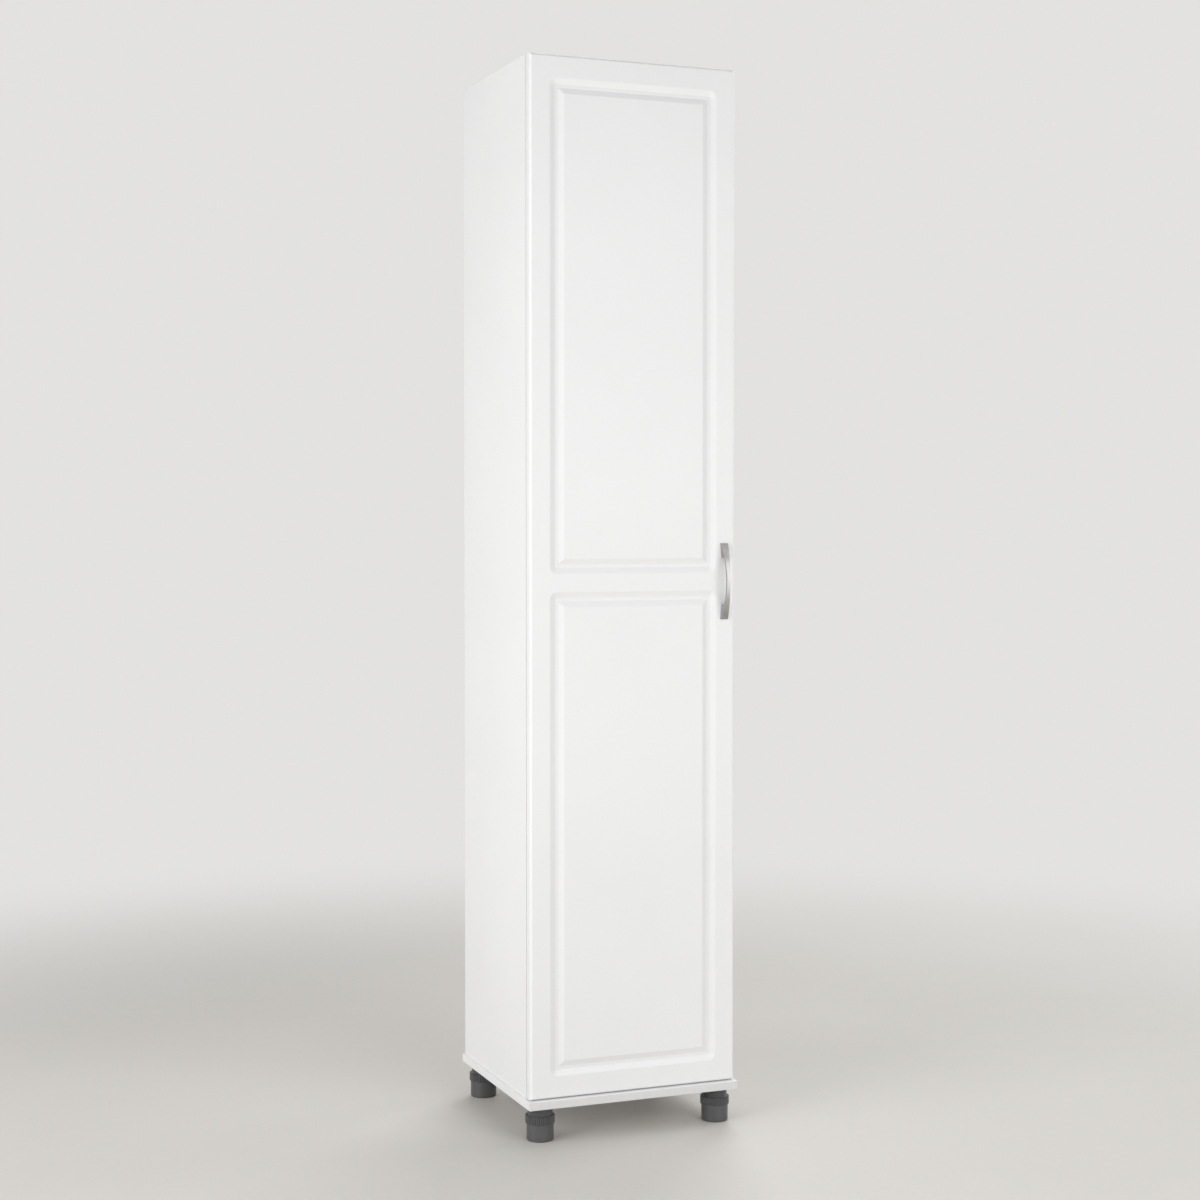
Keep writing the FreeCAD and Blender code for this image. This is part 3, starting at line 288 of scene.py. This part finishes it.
def dress_door():
    """Film over the front and edges, a coated back, and raw board in the bores."""
    keys = ("door", "raw", "board")
    low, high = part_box("door_panel")
    for face in dress("door_panel", *keys):
        x, y, z = face.center
        inside = min(x - low.x, high.x - x, z - low.z, high.z - z) > HOLE_MARGIN
        if y > high.y - FACE_MARGIN:
            face.material_index = keys.index("board")
        elif inside and y > low.y + ROUTING_DEPTH:
            face.material_index = keys.index("raw")


def dress_back(node):
    """A coated face to the inside of the cupboard, and bare hardboard on the rest."""
    keys = ("board", "hardboard")
    for face in dress(node, *keys):
        if face.normal.y > -FACING:
            face.material_index = keys.index("hardboard")


for board in ("left_side_panel", "right_side_panel", "top_panel", "fixed_shelf", "adjustable_shelf"):
    dress_board(board)
# The base plate's front gets the darker copy of the edge band, which paints shade on it.
dress_board("base_plate", "plate_edging_painted_shade")
dress_door()
for panel in ("upper_back_panel", "lower_back_panel"):
    dress_back(panel)
for fitting in ("shelf_pins", "cam_bolts", "wall_bracket", "cup_pins", "arm_pins"):
    dress(fitting, "zinc")
for number in HINGES:
    for kind in ("cup", "arm", "mount", "link"):
        dress(f"hinge_{kind}_{number}", "hinge")
for corner in CORNERS:
    dress(f"foot_cup_{corner}", "foot")
dress("dowels", "beech")
dress("handle", "nickel")


# Mesh building blocks
SAME_POINT = 0.001 * MM
PIECE_SMOOTH_ANGLE = math.radians(32)
RECESS_SIDE_TAPER = 1.3
RECESS_END_TAPER = 0.45


def islands(node):
    """Lowest and highest corner of each separate solid in a node."""
    shape = bmesh.new()
    shape.from_mesh(NODES[node].data)
    bmesh.ops.remove_doubles(shape, verts=shape.verts, dist=SAME_POINT)
    boxes = []
    unseen = set(shape.verts)
    while unseen:
        patch = [unseen.pop()]
        points = []
        while patch:
            vertex = patch.pop()
            points.append(vertex.co.copy())
            for edge in vertex.link_edges:
                other = edge.other_vert(vertex)
                if other in unseen:
                    unseen.remove(other)
                    patch.append(other)
        low = Vector(min(point[i] for point in points) for i in range(3))
        high = Vector(max(point[i] for point in points) for i in range(3))
        boxes.append((low, high))
    shape.free()
    return sorted(boxes, key=lambda box: tuple(box[0]))


def body_of(node):
    """Name of the body that carries a node."""
    bodies = frame["record"]["behaviour"]["bodies"]
    return next(name for name, members in bodies.items() if node in members)


def new_piece(name, shape, key, body):
    """A finished mesh as a piece that moves with a body."""
    mesh = bpy.data.meshes.new(name)
    bmesh.ops.recalc_face_normals(shape, faces=shape.faces)
    shape.to_mesh(mesh)
    shape.free()
    mesh.materials.append(MATERIALS[key])
    mesh.shade_smooth()
    mesh.set_sharp_from_angle(angle=PIECE_SMOOTH_ANGLE)
    piece = bpy.data.objects.new(name, mesh)
    bpy.context.scene.collection.objects.link(piece)
    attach(piece, body)
    return piece


def replace_node(node, shape, key):
    """A detailed piece in place of a plain solid, on the same body."""
    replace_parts(new_piece(f"{node}_detailed", shape, key, body_of(node)), node)


def facing(direction, origin):
    """A placement at a point with its own Z along a direction."""
    return Matrix.Translation(origin) @ Vector(direction).to_track_quat("Z", "Y").to_matrix().to_4x4()


def bridge(shape, below, above):
    """Faces between two rings of points; a ring of one point is a tip."""
    count = max(len(below), len(above))
    for i in range(count):
        corners = [below[i % len(below)], below[(i + 1) % len(below)],
                   above[(i + 1) % len(above)], above[i % len(above)]]
        shape.faces.new(list(dict.fromkeys(corners)))


def turned(shape, profile, place, sides=24, closed=False):
    """Add a lathe form and give its last ring; a profile holds radii and heights along the form's own Z."""
    rings = []
    for radius, height in profile:
        ring = []
        for i in range(sides if radius else 1):
            turn = 2 * math.pi * i / sides
            point = Vector((radius * math.cos(turn), radius * math.sin(turn), height))
            ring.append(shape.verts.new(place @ point))
        rings.append(ring)
    for below, above in zip(rings, rings[1:]):
        bridge(shape, below, above)
    if closed:
        bridge(shape, rings[-1], rings[0])
    return rings[-1]


def cross_ring(shape, place, half_width, reach, height):
    """The twelve corners of a cross."""
    ring = []
    for i in range(4):
        turn = Matrix.Rotation(math.pi / 2 * i, 4, "Z")
        for x, y in ((half_width, -half_width), (reach, -half_width), (reach, half_width)):
            ring.append(shape.verts.new(place @ turn @ Vector((x, y, height))))
    return ring


def driver_face(shape, rim, place, reach, width, depth):
    """Close a rim with a face that has a tapered cross sunk in it for a driver."""
    half_width = width / 2
    mouth = cross_ring(shape, place, half_width, reach, 0)
    bottom = cross_ring(shape, place, half_width / RECESS_SIDE_TAPER, reach * RECESS_END_TAPER, -depth)
    bridge(shape, mouth, bottom)
    shape.faces.new(bottom)
    outlines = [shape.edges.get((ring[i - 1], ring[i])) for ring in (rim, mouth) for i in range(len(ring))]
    bmesh.ops.triangle_fill(shape, edges=outlines, use_beauty=True)


# Small fittings: screws, where a shape is in shares of the screw's own sizes
SCREW_FACES = {
    "cup_screws": (0, 1, 0),
    "mount_screws": (1, 0, 0),
    "handle_screws": (0, 1, 0),
    "base_screws": (0, 0, -1),
    "bracket_screw": (0, 0, -1),
    "foot_screws": (0, 0, -1),
}
HEAD_HEIGHTS = {"handle_screws": 2 * MM, "base_screws": 4 * MM}
PAN_HEAD = 1.8 * MM
PAN_SHAPE = ((0.98, 0), (1, 0.25), (0.93, 0.62), (0.74, 0.9))
RECESS_REACH = 0.55
RECESS_WIDTH = 0.26
RECESS_DEPTH = 0.8
SHANK_SHARE = 0.46
TIP_RADIUS = 0.5
TIP_HEIGHT = 0.98
PLAIN_NECK = 0.1
THREADED_LENGTH = 0.85
THREAD_PITCH = 1.2 * MM
THREAD_ROOT = 0.75
THREAD_SHAPE = ((THREAD_ROOT, 0.6), (1, 0.35), (THREAD_ROOT, 0))
SHRINK = 0.985


def screw(shape, place, head_radius, head, shank_radius, length):
    """A threaded screw with a pan head and a cross recess, placed at its head's seat and looking out."""
    profile = [(0, -length), (shank_radius * TIP_RADIUS, -length * TIP_HEIGHT)]
    for i in reversed(range(int(length * THREADED_LENGTH / THREAD_PITCH))):
        start = -length * PLAIN_NECK - i * THREAD_PITCH
        profile += [(shank_radius * radius, start - THREAD_PITCH * drop) for radius, drop in THREAD_SHAPE]
    profile.append((shank_radius * THREAD_ROOT, 0))
    profile += [(head_radius * radius, head * height) for radius, height in PAN_SHAPE]
    rim = turned(shape, profile, place)
    crown = place @ Matrix.Translation((0, 0, head))
    reach = head_radius * RECESS_REACH
    width = head_radius * RECESS_WIDTH
    driver_face(shape, rim, crown, reach, width, head * RECESS_DEPTH)


def detailed_screws(node):
    """Screws with cross recesses and threads in place of a node's plain ones."""
    shape = bmesh.new()
    direction = Vector(SCREW_FACES[node])
    axis = max(range(3), key=lambda i: abs(direction[i]))
    head = HEAD_HEIGHTS.get(node, PAN_HEAD)
    for low, high in islands(node):
        size = high - low
        radius = max(size[i] for i in range(3) if i != axis) / 2 * SHRINK
        length = (size[axis] - head) * SHRINK
        seat = (low + high) / 2
        seat[axis] += direction[axis] * (size[axis] / 2 - head)
        screw(shape, facing(direction, seat), radius, head * SHRINK, radius * SHANK_SHARE, length)
    replace_node(node, shape, "zinc")


# Small fittings: cams, bumpers, adjusters, nails and necks
def cam_locks():
    """Die-cast cam locks: a disc with a rim, a dished face and a cross recess, seen from below."""
    dish = 0.5 * MM
    bevel = 0.3 * MM
    lead_in = 0.9
    recess_reach = 0.5
    recess_width = 0.2
    recess_depth = 3 * MM
    shape = bmesh.new()
    for low, high in islands("cam_locks"):
        middle = (low + high) / 2
        radius = (high.x - low.x) / 2
        depth = high.z - low.z
        place = facing((0, 0, -1), Vector((middle.x, middle.y, low.z)))
        body = [(0, -depth), (0.96, -depth), (0.99, -depth * lead_in), (0.99, -bevel)]
        face = [(0.95, 0), (0.82, 0), (0.78, -dish), (0.72, -dish)]
        rim = turned(shape, [(radius * share, height) for share, height in body + face], place)
        dished = place @ Matrix.Translation((0, 0, -dish))
        driver_face(shape, rim, dished, radius * recess_reach, radius * recess_width, recess_depth)
    replace_node("cam_locks", shape, "zinc")


def door_bumpers():
    """Soft domes in place of the plain bumpers."""
    steps = 8
    base = 0.97
    widest = 0.99
    skirt = 0.15
    crown = 0.84
    shape = bmesh.new()
    for low, high in islands("door_bumpers"):
        middle = (low + high) / 2
        radius = (high.x - low.x) / 2
        height = high.y - low.y
        place = facing((0, 1, 0), Vector((middle.x, low.y, middle.z)))
        turns = [math.pi / 2 * i / steps for i in range(steps)]
        dome = [(radius * widest * math.cos(turn), height * (skirt + crown * math.sin(turn)))
                for turn in turns]
        turned(shape, [(0, 0), (radius * base, 0), *dome, (0, height * (skirt + crown))], place)
    replace_node("door_bumpers", shape, "bumper")


def arm_adjusters(number):
    """Two adjusting screws on the web of a hinge arm."""
    sheet = 1.5 * MM
    setbacks = (12 * MM, 30 * MM)
    head_radius = 3.2 * MM
    head = 1.4 * MM
    shank_radius = 2 * MM
    low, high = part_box(f"hinge_arm_{number}")
    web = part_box(f"hinge_mount_{number}")[1].x + sheet
    shape = bmesh.new()
    for setback in setbacks:
        seat = Vector((web, high.y - setback, (low.z + high.z) / 2))
        screw(shape, facing((1, 0, 0), seat), head_radius, head, shank_radius, sheet / 2)
    new_piece(f"hinge_arm_{number}_adjusters", shape, "zinc", "carcass")


def back_nails():
    """Flat nail heads along the edges of the back panels."""
    counts = {"upper_back_panel": 4, "lower_back_panel": 8}
    end = 30 * MM
    tip = [(0, -10 * MM), (0.7 * MM, -8 * MM)]
    shank = [(0.8 * MM, -0.4 * MM)]
    head = [(2.1 * MM, -0.2 * MM), (2.1 * MM, 0.01 * MM), (0, 0.02 * MM)]
    shape = bmesh.new()
    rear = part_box("upper_back_panel")[1].y
    side_middle = sum(corner.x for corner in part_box("right_side_panel")) / 2
    for panel, count in counts.items():
        low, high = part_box(panel)
        for i in range(count):
            height = low.z + end + (high.z - low.z - 2 * end) * i / (count - 1)
            for side in (-1, 1):
                place = facing((0, 1, 0), Vector((side * side_middle, rear, height)))
                turned(shape, tip + shank + head, place)
    new_piece("back_nail_heads", shape, "zinc", "carcass")


def foot_neck(corner):
    """A hollow neck with a coarse thread, in place of the plain one under the base plate."""
    node = f"foot_socket_{corner}"
    wall = 4 * MM
    screw_hole = 1.8 * MM
    pitch = 3.2 * MM
    groove = 0.9 * MM
    first_turn = 0.3
    thread = ((groove, 0), (0, 0.3), (0, 0.55), (groove, 0.85))
    low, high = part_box(node)
    middle = (low + high) / 2
    outside = (high.x - low.x) / 2
    root = outside - groove
    inside = outside - wall
    length = high.z - low.z
    profile = [(inside, 0), (root, 0)]
    for i in range(int((length - pitch) / pitch)):
        start = pitch * (i + first_turn)
        profile += [(outside - depth, start + pitch * rise) for depth, rise in thread]
    profile += [(root, length - pitch / 2), (outside, length - pitch / 3), (outside, length),
                (screw_hole, length), (screw_hole, length - wall), (inside, length - wall)]
    shape = bmesh.new()
    turned(shape, profile, Matrix.Translation((middle.x, middle.y, low.z)), sides=48, closed=True)
    replace_node(node, shape, "foot")


for screw_node in SCREW_FACES:
    detailed_screws(screw_node)
cam_locks()
door_bumpers()
for hinge in HINGES:
    arm_adjusters(hinge)
back_nails()
for foot in CORNERS:
    foot_neck(foot)


# Stage: a pale floor, soft light and the photograph's camera
BACKDROP = (0.765, 0.76, 0.745, 1)
SURROUND = (0.97, 0.983, 1.0, 1)
SURROUND_STRENGTH = 0.39
FLOOR_HALF = 40
FADE_START = 0.9
FADE_END = 3.2
SENSOR_MM = 36
LENS_MM = 63.505
SHIFT_UP = -0.02
EYE = (-1.4441, -3.6034, 1.0800)
TILT_DEGREES = 88.554
TURN_DEGREES = -21.891


def background_rays(tree):
    """One for rays that show the background: the camera's, and those that gloss and clear parts send on."""
    rays = tree.nodes.new("ShaderNodeLightPath")
    shown = rays.outputs["Is Camera Ray"]
    for kind in ("Is Glossy Ray", "Is Transmission Ray"):
        either = tree.nodes.new("ShaderNodeMath")
        either.operation = "MAXIMUM"
        tree.links.new(shown, either.inputs[0])
        tree.links.new(rays.outputs[kind], either.inputs[1])
        shown = either.outputs["Value"]
    return shown


def blend_shaders(tree, factor, first, second, output):
    """Two shaders mixed by a factor, on the surface of an output node."""
    blend = tree.nodes.new("ShaderNodeMixShader")
    tree.links.new(factor, blend.inputs["Fac"])
    tree.links.new(first, blend.inputs[1])
    tree.links.new(second, blend.inputs[2])
    tree.links.new(blend.outputs["Shader"], tree.nodes[output].inputs["Surface"])


def floor_material():
    """A pale floor that fades into the backdrop's colour a few metres out."""
    material, tree, shader = new_material("pale_floor", Specular_IOR_Level=0.3)
    points = object_points(tree)
    clouds = noise(tree, points, scale=1.5, detail=4)
    colour = ramp(tree, clouds, (0.630, 0.608, 0.570), (0.656, 0.634, 0.596))
    finish_material(tree, shader, colour, spread(tree, noise(tree, points, scale=30), 0.48, 0.56))
    distance = tree.nodes.new("ShaderNodeVectorMath")
    distance.operation = "LENGTH"
    tree.links.new(points, distance.inputs[0])
    fade = add_node(tree, "ShaderNodeMapRange", From_Min=FADE_START, From_Max=FADE_END)
    fade.interpolation_type = "SMOOTHERSTEP"
    tree.links.new(distance.outputs["Value"], fade.inputs["Value"])
    shown = tree.nodes.new("ShaderNodeMath")
    shown.operation = "MULTIPLY"
    tree.links.new(fade.outputs["Result"], shown.inputs[0])
    tree.links.new(background_rays(tree), shown.inputs[1])
    far = add_node(tree, "ShaderNodeEmission", Color=BACKDROP, Strength=1.0)
    blend_shaders(tree, shown.outputs["Value"], shader.outputs["BSDF"], far.outputs["Emission"],
                  "Material Output")
    return material


def floor():
    """One wide square under the feet."""
    corners = [(x * FLOOR_HALF, y * FLOOR_HALF, 0) for x, y in ((-1, -1), (1, -1), (1, 1), (-1, 1))]
    mesh = bpy.data.meshes.new("floor")
    mesh.from_pydata(corners, [], [(0, 1, 2, 3)])
    mesh.materials.append(floor_material())
    plane = bpy.data.objects.new("floor", mesh)
    bpy.context.scene.collection.objects.link(plane)


def backdrop():
    """An even pale surround that shows as one plain colour."""
    world = bpy.data.worlds.new("surround")
    bpy.context.scene.world = world
    world.use_nodes = True
    tree = world.node_tree
    light = tree.nodes["Background"]
    light.inputs["Color"].default_value = SURROUND
    light.inputs["Strength"].default_value = SURROUND_STRENGTH
    shown = add_node(tree, "ShaderNodeBackground", Color=BACKDROP, Strength=1.0)
    blend_shaders(tree, background_rays(tree), light.outputs["Background"], shown.outputs["Background"],
                  "World Output")


def softbox(name, place, target, size, watts):
    """A rectangular area lamp that looks at a point."""
    lamp = bpy.data.lights.new(name, "AREA")
    lamp.shape = "RECTANGLE"
    lamp.size, lamp.size_y = size
    lamp.energy = watts
    box = bpy.data.objects.new(name, lamp)
    box.location = place
    box.rotation_euler = (Vector(target) - Vector(place)).to_track_quat("-Z", "Y").to_euler()
    bpy.context.scene.collection.objects.link(box)


def camera():
    """The photograph's view: from the left of the front, looking slightly down."""
    lens = bpy.data.cameras.new("photo_camera")
    lens.sensor_width = SENSOR_MM
    lens.lens = LENS_MM
    lens.shift_y = SHIFT_UP
    eye = bpy.data.objects.new("photo_camera", lens)
    eye.location = EYE
    eye.rotation_euler = (math.radians(TILT_DEGREES), 0, math.radians(TURN_DEGREES))
    bpy.context.scene.collection.objects.link(eye)
    bpy.context.scene.camera = eye


floor()
backdrop()
softbox("key", place=(-2.5, -0.85, 1.25), target=(0, 0, 1.05), size=(2.0, 2.0), watts=46)
softbox("front_fill", place=(0.75, -2.7, 1.25), target=(0, 0, 1.1), size=(2.6, 2.1), watts=34)
softbox("right_fill", place=(2.6, 0.2, 1.8), target=(0, 0, 0.95), size=(1.4, 1.6), watts=17)
softbox("back_fill", place=(1.9, 2.8, 3.5), target=(0, 0, 1.2), size=(2.0, 2.0), watts=62)
camera()
bpy.context.scene.view_settings.view_transform = "Standard"
